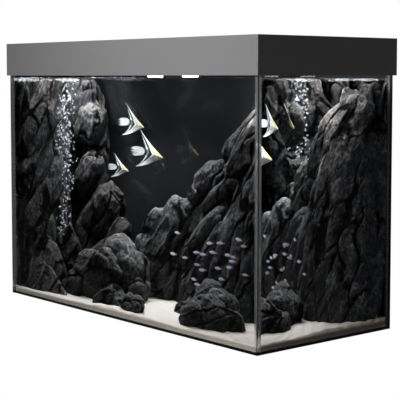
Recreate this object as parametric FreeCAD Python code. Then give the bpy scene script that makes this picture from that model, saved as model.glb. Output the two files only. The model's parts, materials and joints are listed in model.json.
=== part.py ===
import FreeCAD, Part
import math
import os
import random

from FreeCAD import Vector

# Furnished glass aquarium with a lift-off lighting hood.  Millimetres, +Z up, +X to the
# right along the front glass, -Y towards the viewer.  The origin is the centre of the
# underside of the base mat, where the tank rests.

# ---------------------------------------------------------------- driving dimensions
# Tank
tank_length = 1200.0
tank_depth = 520.0
glass_top = 750.0              # rim of the glass above the surface it stands on
wall_glass = 12.0
bottom_glass = 10.0
mat_thickness = 6.0
bond_line = 1.0                # silicone between the panes
seam_fillet = 6.0
film_thickness = 0.4
film_inset = 2.0

# Braces
brace_width = 60.0
brace_glass = 8.0
brace_drop = 2.0               # braces sit this far under the rim
cross_brace_offset = 300.0

# Sand and rocks
sand_front = 21.0              # top of the sand at the front glass, above the floor
sand_back = 38.0
sand_gap = 0.5                 # between sand and glass
rock_gap = 4.0                 # between rockwork and glass
rock_top = 702.0

# Hood
hood_height = 104.0
hood_overlap = 26.0            # skirt below the rim of the glass
hood_clearance = 3.0           # between skirt and glass
hood_wall = 5.0
lid_thickness = 4.0
ledge_width = 10.0
ledge_height = 6.0
block_size = 30.0
bridge_width = 30.0
bridge_height = 18.0
lid_gap = 1.0
deck_depth = 158.5             # fixed rear part of the top

# Hinges
barrel_radius = 4.0
pin_radius = 1.5
pin_clearance = 0.05
barrel_gap = 0.5
lid_barrel = 40.0
fixed_barrel = 15.0
flap_hinge_stations = (100.0, 300.0, 500.0)
flap_corner_radius = 4.0

# Feed hatch
hatch_length = 140.0
hatch_depth = 90.0
hatch_centre_x = 450.0
hatch_front_margin = 60.0      # hatch opening behind the front edge of the flap
hatch_lip = 5.0
hatch_lip_thickness = 1.5
hatch_corner_radius = 3.0

# Hand and cable openings
finger_radius = 14.0
finger_margin = 26.0           # centre of the finger hole behind the flap's front edge
finger_x = 300.0
hatch_finger_radius = 12.0
grommet_x = 500.0
grommet_margin = 38.0          # centre of the grommet in front of the rear panel
grommet_radius = 16.0
grommet_bore = 9.0
grommet_flange = 20.0
grommet_flange_thickness = 2.0

# Lights
led_bar_width = 34.0
led_bar_height = 12.0
led_lens_width = 26.0
led_lens_height = 4.0
led_lens_margin = 15.0
led_fins = 4
led_groove_width = 3.0
led_groove_depth = 5.0
led_bar_bottom = 772.0
led_front_y = -110.0
led_rear_y = 130.0
bracket_length = 18.0
bracket_margin = 6.0
rail_width = 20.0
rail_height = 12.0
spot_places = (("left", -146.0), ("right", 27.0))
spot_radius = 28.0
spot_neck_radius = 17.0
spot_height = 22.0
spot_taper = 8.0
spot_lens_radius = 24.0
spot_lens_height = 5.0
spot_bottom = 719.0
stem_radius = 6.0

# Filter, heater and air stone, in the chamber behind the left rock stack
chamber_width = 112.0
chamber_depth = 104.0
filter_width = 66.0
filter_depth = 56.0
filter_bottom = 365.0
filter_height = 270.0
filter_head_height = 44.0
filter_slots = 9
filter_slot_height = 6.0
filter_slot_depth = 4.0
filter_slot_start = 20.0       # lowest slot above the underside of the filter
filter_side_gap = 10.0         # between filter and left glass
nozzle_radius = 9.0
nozzle_bore = 5.5
nozzle_reach = 58.0
nozzle_stub = 16.0
nozzle_cap = 2.0
running_gap = 0.3
cup_radius = 13.0
cup_thickness = 8.0
heater_radius = 11.0
heater_bottom = 120.0
heater_length = 250.0
heater_cap_radius = 14.0
heater_cap_height = 36.0
heater_clip_height = 12.0
heater_clip_wall = 3.0
heater_clip_bite = 1.0         # how far the suction cup reaches into the clip ring
dial_radius = 10.0
dial_height = 12.0
dial_flutes = 8
dial_flute_radius = 2.2
dial_flute_offset = 1.0        # flute centres outside the rim of the dial
pointer_width = 1.6
pointer_margin = 2.0
pointer_depth = 1.0
air_stone_radius = 17.0
air_stone_height = 22.0
air_nipple_radius = 3.0
air_stone_place = (-490.0, 35.0)

# ---------------------------------------------------------------- derived places
outer_x = tank_length / 2
outer_y = tank_depth / 2
inner_x = outer_x - wall_glass
inner_y = outer_y - wall_glass
floor_top = mat_thickness + bottom_glass

brace_top = glass_top - brace_drop
brace_bottom = brace_top - brace_glass

hood_bottom = glass_top - hood_overlap
hood_top = hood_bottom + hood_height
lid_bottom = hood_top - lid_thickness
ledge_bottom = lid_bottom - ledge_height
hood_in_x = outer_x + hood_clearance
hood_in_y = outer_y + hood_clearance
hood_x = hood_in_x + hood_wall
hood_y = hood_in_y + hood_wall
bridge_bottom = lid_bottom - bridge_height
deck_front = hood_in_y - deck_depth
hinge_setback = barrel_radius + barrel_gap
hinge_y = deck_front - hinge_setback
flap_front = -hood_in_y + lid_gap
hatch_front = flap_front + hatch_front_margin
hatch_rear = hatch_front + hatch_depth
rail_bottom = bridge_bottom - rail_height

rock_x = inner_x - rock_gap
rock_y = inner_y - rock_gap
chamber_right = -inner_x + chamber_width
chamber_front = inner_y - chamber_depth
filter_x = -inner_x + filter_side_gap + filter_width / 2
filter_y = inner_y - cup_thickness - filter_depth / 2
filter_top = filter_bottom + filter_height
head_top = filter_top + filter_head_height
heater_x = chamber_right - heater_cap_radius - running_gap
heater_y = inner_y - cup_thickness - heater_cap_radius
heater_top = heater_bottom + heater_length


# ---------------------------------------------------------------- helpers
def box(x0, x1, y0, y1, z0, z1):
    return Part.makeBox(x1 - x0, y1 - y0, z1 - z0, Vector(x0, y0, z0))


def tube_z(x, y, z0, z1, radius, bore=0.0):
    rod = Part.makeCylinder(radius, z1 - z0, Vector(x, y, z0))
    if bore:
        rod = rod.cut(Part.makeCylinder(bore, z1 - z0, Vector(x, y, z0)))
    return rod


def rod_x(x0, x1, y, z, radius):
    return Part.makeCylinder(radius, x1 - x0, Vector(x0, y, z), Vector(1, 0, 0))


def rod_y(x, y0, y1, z, radius):
    return Part.makeCylinder(radius, y1 - y0, Vector(x, y0, z), Vector(0, 1, 0))


def prism(points, along):
    """Closed outline swept along a vector."""
    outline = [Vector(*p) for p in points]
    wire = Part.makePolygon(outline + [outline[0]])
    return Part.Face(wire).extrude(Vector(*along))


def join(shapes):
    first = shapes[0]
    if len(shapes) == 1:
        return first
    return first.multiFuse(shapes[1:]).removeSplitter()


def group(shapes):
    return Part.makeCompound(shapes)


def write(node, shape):
    shape.exportStep(os.path.join("parts", node + ".step"))
    print(f"{node:24s} solids {len(shape.Solids)}  volume {shape.Volume / 1000:.1f} cm3")


# ---------------------------------------------------------------- glass tank
def sand_level(y):
    share = (y + inner_y) / (2 * inner_y)
    return sand_front + share * (sand_back - sand_front)


def corner_seam(sx, sy, cutter):
    """Silicone in one upright corner: the bond line and the fillet inside it."""
    gx = sx * inner_x
    gy = sy * inner_y
    face = gy - sy * bond_line
    outline = [
        (sx * outer_x, gy, mat_thickness),
        (gx - sx * seam_fillet, gy, mat_thickness),
        (gx, gy - sy * seam_fillet, mat_thickness),
        (gx, face, mat_thickness),
        (sx * outer_x, face, mat_thickness),
    ]
    return prism(outline, (0, 0, glass_top - mat_thickness)).cut(cutter)


def base_seams():
    """Silicone round the bottom pane: two long runs and two short ones."""
    def profile(edge, sign):
        inside = edge - sign * bond_line
        return [
            (edge, mat_thickness),
            (edge, floor_top + seam_fillet),
            (edge - sign * seam_fillet, floor_top),
            (inside, floor_top),
            (inside, mat_thickness),
        ]

    run_x = inner_x - seam_fillet
    run_y = inner_y - seam_fillet
    seams = []
    for sign in (-1, 1):
        long_outline = [(-run_x, y, z) for y, z in profile(sign * inner_y, sign)]
        seams.append(prism(long_outline, (2 * run_x, 0, 0)))
        short_outline = [(x, -run_y, z) for x, z in profile(sign * inner_x, sign)]
        seams.append(prism(short_outline, (0, 2 * run_y, 0)))
    return group(seams)


def make_tank():
    side_y = inner_y - bond_line
    pane_x = inner_x - bond_line
    write("base_mat", box(-outer_x, outer_x, -outer_y, outer_y, 0, mat_thickness))
    bottom = box(-pane_x, pane_x, -side_y, side_y, mat_thickness, floor_top)
    write("bottom_pane", bottom)
    z0 = mat_thickness
    z1 = glass_top
    write("front_pane", box(-outer_x, outer_x, -outer_y, -inner_y, z0, z1))
    write("back_pane", box(-outer_x, outer_x, inner_y, outer_y, z0, z1))
    write("left_pane", box(-outer_x, -inner_x, -side_y, side_y, z0, z1))
    write("right_pane", box(inner_x, outer_x, -side_y, side_y, z0, z1))
    for end, sy in (("front", -1), ("back", 1)):
        for side, sx in (("left", -1), ("right", 1)):
            write(f"corner_seam_{end}_{side}", corner_seam(sx, sy, bottom))
    write("base_seams", base_seams())

    brace_x = inner_x - seam_fillet - film_inset
    brace_in = inner_y - brace_width
    write("brace_front", box(-brace_x, brace_x, -inner_y, -brace_in, brace_bottom, brace_top))
    write("brace_back", box(-brace_x, brace_x, brace_in, inner_y, brace_bottom, brace_top))
    for side, sign in (("left", -1), ("right", 1)):
        x = sign * cross_brace_offset
        half = brace_width / 2
        low = brace_bottom - brace_glass
        write(f"cross_brace_{side}", box(x - half, x + half, -inner_y, inner_y, low, brace_bottom))

    film_x = outer_x - film_inset
    film_low = mat_thickness + film_inset
    film_high = glass_top - film_inset
    write("back_film", box(-film_x, film_x, outer_y, outer_y + film_thickness, film_low, film_high))


# ---------------------------------------------------------------- sand and rocks
def below_sand(depth, half_x, half_y):
    """Everything under the sloping top of the sand, down to the given height."""
    outline = [
        (-half_x, -half_y, depth),
        (-half_x, half_y, depth),
        (-half_x, half_y, sand_level(half_y)),
        (-half_x, -half_y, sand_level(-half_y)),
    ]
    return prism(outline, (2 * half_x, 0, 0))


def make_sand():
    half_x = inner_x - sand_gap
    half_y = inner_y - sand_gap
    sand = below_sand(floor_top, half_x, half_y)
    chamfer = seam_fillet + sand_gap
    for sign in (-1, 1):
        y = sign * inner_y
        low = [(y, floor_top), (y, floor_top + chamfer), (y - sign * chamfer, floor_top)]
        sand = sand.cut(prism([(-inner_x, a, b) for a, b in low], (2 * inner_x, 0, 0)))
        x = sign * inner_x
        low = [(x, floor_top), (x, floor_top + chamfer), (x - sign * chamfer, floor_top)]
        sand = sand.cut(prism([(a, -inner_y, b) for a, b in low], (0, 2 * inner_y, 0)))
    for sx in (-1, 1):
        for sy in (-1, 1):
            corner = [
                (sx * inner_x, sy * inner_y, floor_top),
                (sx * (inner_x - chamfer), sy * inner_y, floor_top),
                (sx * inner_x, sy * (inner_y - chamfer), floor_top),
            ]
            sand = sand.cut(prism(corner, (0, 0, sand_back)))
    write("sand_bed", sand)


def stone(rings, seed, sides=7):
    """Faceted stone through level rings of (z, centre x, centre y, radius x, radius y)."""
    rng = random.Random(seed)
    spread = [rng.uniform(0.86, 1.12) for _ in range(sides)]
    turn = rng.uniform(0, 2 * math.pi / sides)
    loops = []
    for z, cx, cy, rx, ry in rings:
        loop = []
        for k in range(sides):
            angle = turn + 2 * math.pi * k / sides
            reach = spread[k] * rng.uniform(0.95, 1.05)
            x = cx + rx * reach * math.cos(angle)
            y = cy + ry * reach * math.sin(angle)
            loop.append(Vector(x, y, z))
        loops.append(loop)
    faces = []
    for lower, upper in zip(loops, loops[1:]):
        for k in range(sides):
            j = (k + 1) % sides
            for corners in ((lower[k], lower[j], upper[j]), (lower[k], upper[j], upper[k])):
                faces.append(Part.Face(Part.makePolygon(list(corners) + [corners[0]])))
    for loop in (loops[0], loops[-1]):
        faces.append(Part.Face(Part.makePolygon(loop + [loop[0]])))
    solid = Part.Solid(Part.Shell(faces))
    if solid.Volume < 0:
        solid.reverse()
    return solid


def pillar(foot, crest, foot_size, crest_size, crest_z, seed, base_z=None):
    """Stone that leans from its foot to its crest and rounds off at the top."""
    low = floor_top if base_z is None else base_z
    rings = []
    for t, swell in ((0.0, 0.86), (0.18, 1.06), (0.55, 1.08), (0.86, 0.98), (1.0, 0.52)):
        cx = foot[0] + t * (crest[0] - foot[0])
        cy = foot[1] + t * (crest[1] - foot[1])
        rx = swell * (foot_size[0] + t * (crest_size[0] - foot_size[0]))
        ry = swell * (foot_size[1] + t * (crest_size[1] - foot_size[1]))
        rings.append((low + t * (crest_z - low), cx, cy, rx, ry))
    return stone(rings, seed)


def boulder(place, size, height, seed, base_z=None):
    """Free-lying rounded stone."""
    low = floor_top if base_z is None else base_z
    rings = []
    for t, swell in ((0.0, 0.90), (0.3, 1.0), (0.65, 0.86), (0.9, 0.55), (1.0, 0.25)):
        z = low + t * (height - low)
        rings.append((z, place[0], place[1], swell * size[0], swell * size[1]))
    return stone(rings, seed, sides=9)


def settle(rock):
    """Keep the part of a rock that stands above the sand and clear of the glass."""
    room = box(-rock_x, rock_x, -rock_y, rock_y, floor_top, rock_top)
    return rock.common(room).cut(below_sand(0, outer_x, outer_y))


def right_wall():
    # foot (x, y), crest (x, y), foot size, crest size, crest height
    buttresses = [
        ((506, 176), (515, 190), (76, 70), (66, 56), 702),
        ((432, 136), (446, 186), (56, 56), (50, 58), 682),
        ((350, 126), (386, 184), (58, 52), (46, 60), 652),
        ((262, 122), (330, 184), (58, 50), (42, 60), 618),
        ((176, 128), (274, 186), (58, 50), (42, 58), 574),
        ((98, 140), (214, 188), (56, 48), (40, 56), 526),
        ((28, 152), (152, 190), (54, 46), (40, 54), 470),
        ((-36, 164), (84, 192), (52, 44), (38, 50), 398),
        ((-92, 176), (14, 196), (50, 42), (40, 46), 342),
        ((-140, 186), (-66, 200), (46, 40), (40, 42), 296),
        ((-176, 194), (-138, 204), (42, 38), (36, 38), 236),
        ((-204, 202), (-190, 208), (34, 32), (26, 30), 150),
    ]
    ridges = [
        ((470, 106), (468, 150), (38, 30), (28, 34), 540),
        ((392, 92), (410, 146), (36, 30), (28, 36), 500),
        ((300, 84), (352, 142), (38, 30), (26, 36), 452),
        ((206, 88), (286, 146), (38, 30), (26, 34), 392),
        ((120, 102), (206, 152), (36, 28), (26, 32), 322),
        ((40, 122), (126, 160), (36, 26), (26, 30), 256),
        ((-30, 140), (44, 168), (34, 26), (26, 28), 196),
    ]
    stones = []
    for k, (foot, crest, low_size, high_size, z) in enumerate(buttresses + ridges):
        stones.append(pillar(foot, crest, low_size, high_size, z, seed=20 + k))
    return join(stones)


def left_column():
    column = [
        pillar((-544, -116), (-548, -104), (48, 84), (44, 80), 214, 51),
        pillar((-550, -100), (-552, -86), (42, 84), (44, 88), 400, 52, base_z=170),
        pillar((-552, -84), (-548, -60), (40, 88), (46, 92), 560, 53, base_z=350),
        pillar((-548, -66), (-540, -40), (44, 92), (52, 84), 700, 54, base_z=500),
        pillar((-486, -96), (-500, -90), (56, 44), (30, 30), 128, 55),
    ]
    return join(column)


def left_stack():
    stack = [
        pillar((-420, 196), (-410, 196), (64, 50), (58, 48), 694, 62),
        pillar((-424, 118), (-420, 122), (66, 62), (60, 58), 320, 63),
        pillar((-412, 112), (-404, 116), (62, 60), (58, 62), 500, 64, base_z=280),
        pillar((-404, 116), (-410, 124), (66, 62), (62, 62), 612, 65, base_z=450),
        pillar((-408, 126), (-420, 132), (64, 60), (52, 56), 700, 66, base_z=570),
        pillar((-330, 122), (-326, 140), (84, 74), (58, 58), 380, 67),
        pillar((-262, 140), (-262, 158), (62, 60), (40, 44), 256, 68),
        pillar((-424, 10), (-452, 40), (46, 40), (24, 26), 196, 69),
    ]
    return join(stack)


def make_rockwork():
    """Rock modules and loose boulders; each later one is shaped to lie against the others."""
    chamber = box(-outer_x, chamber_right, chamber_front, outer_y, 0, glass_top)
    stone_hole = tube_z(*air_stone_place, 0, glass_top, air_stone_radius + rock_gap)
    column = left_column()
    stack = left_stack().cut(chamber).cut(stone_hole)
    chimney = pillar((-545, 96), (-545, 100), (50, 44), (48, 42), 690, 61)
    wall = right_wall().cut(stack)
    write("rock_column_left", settle(column))
    write("rock_stack_left", settle(stack))
    write("rock_chimney_left", settle(chimney.cut(chamber).cut(column).cut(stack)))
    write("rock_wall_right", settle(wall))

    large = join([
        boulder((-292, -44), (108, 92), 196, 71),
        boulder((-176, -18), (104, 84), 236, 72),
    ]).cut(stack)
    low = boulder((-118, -162), (74, 44), 82, 73).cut(large)
    write("boulder_left_large", settle(large))
    write("boulder_left_low", settle(low))
    write("pebble_left", settle(boulder((14, -188), (50, 44), 76, 74)))
    front = boulder((338, -112), (96, 76), 100, 77)
    rear = join([
        boulder((246, 12), (88, 66), 132, 75),
        boulder((160, -10), (50, 44), 78, 76),
    ]).cut(front).cut(wall)
    write("boulder_right_front", settle(front))
    write("boulder_right_rear", settle(rear))


# ---------------------------------------------------------------- equipment
def make_air_stone():
    x, y = air_stone_place
    base = sand_level(y) + air_stone_radius * (sand_back - sand_front) / (2 * inner_y)
    top = base + air_stone_height
    write("air_stone", tube_z(x, y, base, top, air_stone_radius))
    write("air_stone_nipple", tube_z(x, y, top, top + air_stone_radius, air_nipple_radius))


def suction_cup(x, z, back_face):
    """Cup pressed on the back glass, narrowing to the piece that it holds."""
    cup = Part.makeCone(cup_radius, cup_radius / 2, inner_y - back_face,
                        Vector(x, inner_y, z), Vector(0, -1, 0))
    return cup


def make_filter():
    half_w = filter_width / 2
    half_d = filter_depth / 2
    body = box(filter_x - half_w, filter_x + half_w, filter_y - half_d, filter_y + half_d,
               filter_bottom, filter_top)
    uprights = [e for e in body.Edges if abs(e.BoundBox.ZLength - filter_height) < 0.01]
    body = body.makeFillet(filter_side_gap / 2, uprights)
    front = filter_y - half_d
    for k in range(filter_slots):
        z = filter_bottom + filter_slot_start + 2 * filter_slot_height * k
        body = body.cut(box(filter_x - half_w / 2, filter_x + half_w / 2,
                            front, front + filter_slot_depth, z, z + filter_slot_height))
    write("filter_body", body)
    head = box(filter_x - half_w, filter_x + half_w, filter_y - half_d, filter_y + half_d,
               filter_top, head_top)
    head = head.makeFillet(filter_side_gap / 2, [
        e for e in head.Edges
        if e.BoundBox.ZLength > filter_head_height / 2 or e.BoundBox.ZMin > filter_top + 1
    ])
    write("filter_head", head)
    cups = []
    for z in (filter_bottom + filter_height / 4, filter_top - filter_height / 4):
        cups.append(suction_cup(filter_x, z, filter_y + half_d))
    write("filter_cups", group(cups))

    spout_z = head_top + running_gap + nozzle_stub
    wrist_top = spout_z + nozzle_radius + nozzle_cap
    wrist = tube_z(filter_x, filter_y, head_top + running_gap, wrist_top, nozzle_radius + nozzle_cap)
    spout = rod_y(filter_x, filter_y - nozzle_reach, filter_y, spout_z, nozzle_radius)
    hollow = rod_y(filter_x, filter_y - nozzle_reach, filter_y, spout_z, nozzle_bore)
    write("filter_nozzle", wrist.fuse(spout).cut(hollow))


def make_heater():
    write("heater_tube", tube_z(heater_x, heater_y, heater_bottom, heater_top, heater_radius))
    cap_top = heater_top + heater_cap_height
    write("heater_cap", tube_z(heater_x, heater_y, heater_top, cap_top, heater_cap_radius))
    dial = tube_z(heater_x, heater_y, cap_top + running_gap, cap_top + dial_height, dial_radius)
    flute_reach = dial_radius + dial_flute_offset
    for k in range(dial_flutes):
        angle = 2 * math.pi * k / dial_flutes
        x = heater_x + flute_reach * math.cos(angle)
        y = heater_y + flute_reach * math.sin(angle)
        dial = dial.cut(tube_z(x, y, cap_top, cap_top + dial_height, dial_flute_radius))
    dial_top = cap_top + dial_height
    pointer = box(heater_x - pointer_width / 2, heater_x + pointer_width / 2,
                  heater_y - dial_radius + pointer_margin, heater_y,
                  dial_top - pointer_depth, dial_top)
    write("heater_dial", dial.cut(pointer))
    clips = []
    clip_half = heater_clip_height / 2
    clip_radius = heater_radius + heater_clip_wall
    for z in (heater_bottom + heater_length / 5, heater_top - heater_length / 5):
        ring = tube_z(heater_x, heater_y, z - clip_half, z + clip_half, clip_radius, heater_radius)
        clips.append(ring.fuse(suction_cup(heater_x, z, heater_y + clip_radius - heater_clip_bite)))
    write("heater_clips", group(clips))


# ---------------------------------------------------------------- hood shell
def make_hood_shell():
    def panel_y(sign):
        """Front or rear panel, with the ledge that carries the lids."""
        inside = sign * hood_in_y
        ledge_end = inside - sign * ledge_width
        outline = [
            (sign * hood_y, hood_bottom),
            (sign * hood_y, hood_top),
            (inside, hood_top),
            (inside, lid_bottom),
            (ledge_end, lid_bottom),
            (ledge_end, ledge_bottom),
            (inside, ledge_bottom),
            (inside, hood_bottom),
        ]
        wall = prism([(-hood_x, y, z) for y, z in outline[:3] + outline[-1:]], (2 * hood_x, 0, 0))
        ledge = prism([(-hood_in_x, y, z) for y, z in outline[3:7]], (2 * hood_in_x, 0, 0))
        return wall.fuse(ledge).removeSplitter()

    def panel_x(sign):
        inside = sign * hood_in_x
        ledge_y = hood_in_y - ledge_width
        wall = box(*sorted((inside, sign * hood_x)), -hood_in_y, hood_in_y, hood_bottom, hood_top)
        ledge = box(*sorted((inside, inside - sign * ledge_width)), -ledge_y, ledge_y,
                    ledge_bottom, lid_bottom)
        return wall.fuse(ledge).removeSplitter()

    write("hood_front_panel", panel_y(-1))
    write("hood_rear_panel", panel_y(1))
    write("hood_left_panel", panel_x(-1))
    write("hood_right_panel", panel_x(1))

    blocks = []
    for sx in (-1, 1):
        for sy in (-1, 1):
            xs = sorted((sx * hood_in_x, sx * (hood_in_x - block_size)))
            ys = sorted((sy * hood_in_y, sy * (hood_in_y - block_size)))
            blocks.append(box(*xs, *ys, glass_top, ledge_bottom))
    write("hood_corner_blocks", group(blocks))
    half = bridge_width / 2
    bridge_y = hood_in_y - ledge_width
    write("hood_bridge", box(-half, half, -bridge_y, bridge_y, bridge_bottom, lid_bottom))


# ---------------------------------------------------------------- lids and hinges
def barrel_with_web(x0, x1, y, web_to):
    """Hinge barrel with the short web that ties it to its lid or deck."""
    barrel = rod_x(x0, x1, y, lid_bottom, barrel_radius)
    web = box(x0, x1, *sorted((y, web_to)), lid_bottom, hood_top)
    return barrel.fuse(web)


def hinge(x, y):
    """One hinge on an axis along X: lid half, fixed half, the notch in the lid and the pin."""
    half = lid_barrel / 2
    end = half + barrel_gap + fixed_barrel
    lid_half = barrel_with_web(x - half, x + half, y, y - hinge_setback)
    fixed = []
    notches = []
    for sign in (-1, 1):
        xs = sorted((x + sign * (half + barrel_gap), x + sign * end))
        fixed.append(barrel_with_web(*xs, y, y + hinge_setback))
        cut = sorted((x + sign * half, x + sign * (end + barrel_gap)))
        notches.append(box(*cut, y - hinge_setback, y + barrel_radius, lid_bottom, hood_top))
    bore = rod_x(x - end, x + end, y, lid_bottom, pin_radius + pin_clearance)
    pin = rod_x(x - end, x + end, y, lid_bottom, pin_radius)
    return lid_half, fixed, notches, bore, pin


def hung_lid(plate, stations, y):
    """Plate with its hinge halves, the fixed halves for its frame, and the pins."""
    fixed_halves = []
    bores = []
    pins = []
    lid = plate
    for x in stations:
        lid_half, fixed, notches, bore, pin = hinge(x, y)
        for notch in notches:
            lid = lid.cut(notch)
        lid = lid.fuse(lid_half)
        fixed_halves.extend(fixed)
        bores.append(bore)
        pins.append(pin)
    for bore in bores:
        lid = lid.cut(bore)
    return lid.removeSplitter(), fixed_halves, bores, pins


def rounded_front(plate, front, radius):
    """Round the two upright corners of a lid at its free edge."""
    edges = [
        e for e in plate.Edges
        if e.BoundBox.ZLength > lid_thickness - 0.01 and abs(e.BoundBox.YMin - front) < 0.01
        and e.BoundBox.YLength < 0.01
    ]
    return plate.makeFillet(radius, edges)


def make_lids():
    hatch_half = hatch_length / 2
    hatch_plate = box(hatch_centre_x - hatch_half + lid_gap, hatch_centre_x + hatch_half - lid_gap,
                      hatch_front + lid_gap, hatch_rear, lid_bottom, hood_top)
    hatch_plate = rounded_front(hatch_plate, hatch_front + lid_gap, hatch_corner_radius)
    hatch_plate = hatch_plate.cut(tube_z(hatch_centre_x, hatch_front + lid_gap, lid_bottom, hood_top,
                                         hatch_finger_radius))
    hatch, hatch_fixed, hatch_bores, hatch_pins = hung_lid(hatch_plate, (hatch_centre_x,), hatch_rear)
    write("feed_hatch", hatch)

    fixed_halves = []
    bores = []
    for side, sign in (("left", -1), ("right", 1)):
        xs = sorted((sign * lid_gap, sign * (hood_in_x - lid_gap)))
        plate = box(*xs, flap_front, hinge_y, lid_bottom, hood_top)
        plate = rounded_front(plate, flap_front, flap_corner_radius)
        plate = plate.cut(tube_z(sign * finger_x, flap_front + finger_margin, lid_bottom, hood_top,
                                 finger_radius))
        if side == "right":
            x0 = hatch_centre_x - hatch_half
            x1 = hatch_centre_x + hatch_half
            lip_bottom = lid_bottom - hatch_lip_thickness
            plate = plate.cut(box(x0, x1, hatch_front, hatch_rear + hinge_setback,
                                  lid_bottom, hood_top))
            lip = box(x0 - hatch_lip, x1 + hatch_lip, hatch_front - hatch_lip,
                      hatch_rear - 2 * hatch_lip, lip_bottom, lid_bottom)
            lip = lip.cut(box(x0 + hatch_lip, x1 - hatch_lip, hatch_front + hatch_lip, hatch_rear,
                              lip_bottom, lid_bottom))
            plate = plate.fuse(lip)
            plate = plate.fuse(hatch_fixed[0]).fuse(hatch_fixed[1])
            for bore in hatch_bores:
                plate = plate.cut(bore)
        stations = [sign * x for x in flap_hinge_stations]
        flap, fixed, flap_bores, pins = hung_lid(plate, stations, hinge_y)
        write(f"flap_{side}", flap)
        write(f"hinge_pins_{side}", group(pins))
        fixed_halves.extend(fixed)
        bores.extend(flap_bores)
    write("hatch_pin", group(hatch_pins))

    deck = box(-hood_in_x, hood_in_x, deck_front, hood_in_y, lid_bottom, hood_top)
    for half in fixed_halves:
        deck = deck.fuse(half)
    for bore in bores:
        deck = deck.cut(bore)
    grommet_y = hood_in_y - grommet_margin
    for side, sign in (("left", -1), ("right", 1)):
        x = sign * grommet_x
        deck = deck.cut(tube_z(x, grommet_y, lid_bottom, hood_top, grommet_radius))
        neck = tube_z(x, grommet_y, lid_bottom, hood_top, grommet_radius)
        flange = tube_z(x, grommet_y, lid_bottom - grommet_flange_thickness, lid_bottom,
                        grommet_flange)
        hole = tube_z(x, grommet_y, lid_bottom - grommet_flange_thickness, hood_top, grommet_bore)
        write(f"cable_grommet_{side}", neck.fuse(flange).cut(hole).removeSplitter())
    write("hood_deck", deck.removeSplitter())


# ---------------------------------------------------------------- lights
def make_lights():
    bar_x = hood_in_x - bracket_length
    lens_x = bar_x - led_lens_margin
    brackets = []
    for name, y in (("front", led_front_y), ("rear", led_rear_y)):
        half = led_bar_width / 2
        top = led_bar_bottom + led_bar_height
        bar = box(-bar_x, bar_x, y - half, y + half, led_bar_bottom, top)
        fin_pitch = led_bar_width / led_fins
        for k in range(led_fins):
            groove_front = y - half + fin_pitch * (k + 0.5) - led_groove_width / 2
            bar = bar.cut(box(-bar_x, bar_x, groove_front, groove_front + led_groove_width,
                              top - led_groove_depth, top))
        write(f"led_bar_{name}", bar)
        lens_half = led_lens_width / 2
        write(f"led_lens_{name}", box(-lens_x, lens_x, y - lens_half, y + lens_half,
                                      led_bar_bottom - led_lens_height, led_bar_bottom))
        for sign in (-1, 1):
            xs = sorted((sign * bar_x, sign * hood_in_x))
            brackets.append(box(*xs, y - half - bracket_margin, y + half + bracket_margin,
                                led_bar_bottom - bracket_margin, top + bracket_margin))
    write("led_end_brackets", group(brackets))

    half = rail_width / 2
    write("lamp_rail", box(-hood_in_x, hood_in_x, -half, half, rail_bottom, bridge_bottom))
    lenses = []
    for side, x in spot_places:
        head_low = spot_bottom + spot_lens_height
        head_high = head_low + spot_height
        profile = [
            (0, head_low),
            (spot_radius, head_low),
            (spot_radius, head_high - spot_taper),
            (spot_neck_radius, head_high),
            (stem_radius, head_high),
            (stem_radius, rail_bottom),
            (0, rail_bottom),
        ]
        outline = Part.makePolygon([Vector(x + r, 0, z) for r, z in profile + profile[:1]])
        lamp = Part.Face(outline).revolve(Vector(x, 0, 0), Vector(0, 0, 1), 360)
        write(f"spot_lamp_{side}", lamp)
        lenses.append(tube_z(x, 0, spot_bottom, head_low, spot_lens_radius))
    write("spot_lenses", group(lenses))


def main():
    os.makedirs("parts", exist_ok=True)
    make_tank()
    make_sand()
    make_rockwork()
    make_air_stone()
    make_filter()
    make_heater()
    make_hood_shell()
    make_lids()
    make_lights()


main()
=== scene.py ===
# %% [markdown]
# A furnished aquarium: glass tank, rockwork, sand, fish and bubbles under a lighting hood.
# The glass, seams, braces and hood come ready made from the design model, so they are only
# given a finish here. Rocks, sand, water and animals have soft, irregular shapes that a
# design model does not hold, so they are built in this file round the same sizes.

# %% The design model and the box it fills
import itertools
import json
import math
import random

import bmesh
import bpy
import numpy as np
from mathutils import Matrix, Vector


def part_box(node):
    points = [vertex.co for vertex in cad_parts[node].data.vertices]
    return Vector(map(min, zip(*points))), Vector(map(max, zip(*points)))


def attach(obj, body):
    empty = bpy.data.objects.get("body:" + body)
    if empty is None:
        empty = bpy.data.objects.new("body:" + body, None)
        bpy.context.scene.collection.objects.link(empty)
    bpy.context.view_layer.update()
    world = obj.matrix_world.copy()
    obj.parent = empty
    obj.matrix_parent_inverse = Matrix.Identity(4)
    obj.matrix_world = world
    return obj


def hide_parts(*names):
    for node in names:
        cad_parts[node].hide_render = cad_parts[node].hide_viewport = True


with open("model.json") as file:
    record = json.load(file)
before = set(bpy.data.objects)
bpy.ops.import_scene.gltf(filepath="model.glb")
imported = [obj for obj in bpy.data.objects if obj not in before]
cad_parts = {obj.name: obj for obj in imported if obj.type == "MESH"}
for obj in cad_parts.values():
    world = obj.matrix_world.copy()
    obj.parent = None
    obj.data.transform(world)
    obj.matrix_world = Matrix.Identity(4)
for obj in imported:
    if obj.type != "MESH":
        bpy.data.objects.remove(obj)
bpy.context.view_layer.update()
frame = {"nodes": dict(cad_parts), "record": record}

nodes = frame["nodes"]
parts = frame["record"]["subparts"]

# %% [markdown]
# Every later size hangs on a few faces of the tank: the inner glass, the top of the bottom
# pane and the lower edge of the hood. They are read from the model once, so the soft
# pieces follow if the tank changes.

# %% Faces of the tank
inner_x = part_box("right_pane")[0].x
inner_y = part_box("back_pane")[0].y
floor_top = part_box("bottom_pane")[1].z
hood_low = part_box("hood_front_panel")[0].z
surface_below_hood = 0.0075
water_level = hood_low - surface_below_hood
print("inside", round(2 * inner_x, 3), "x", round(2 * inner_y, 3), "water to", round(water_level, 3))


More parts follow.
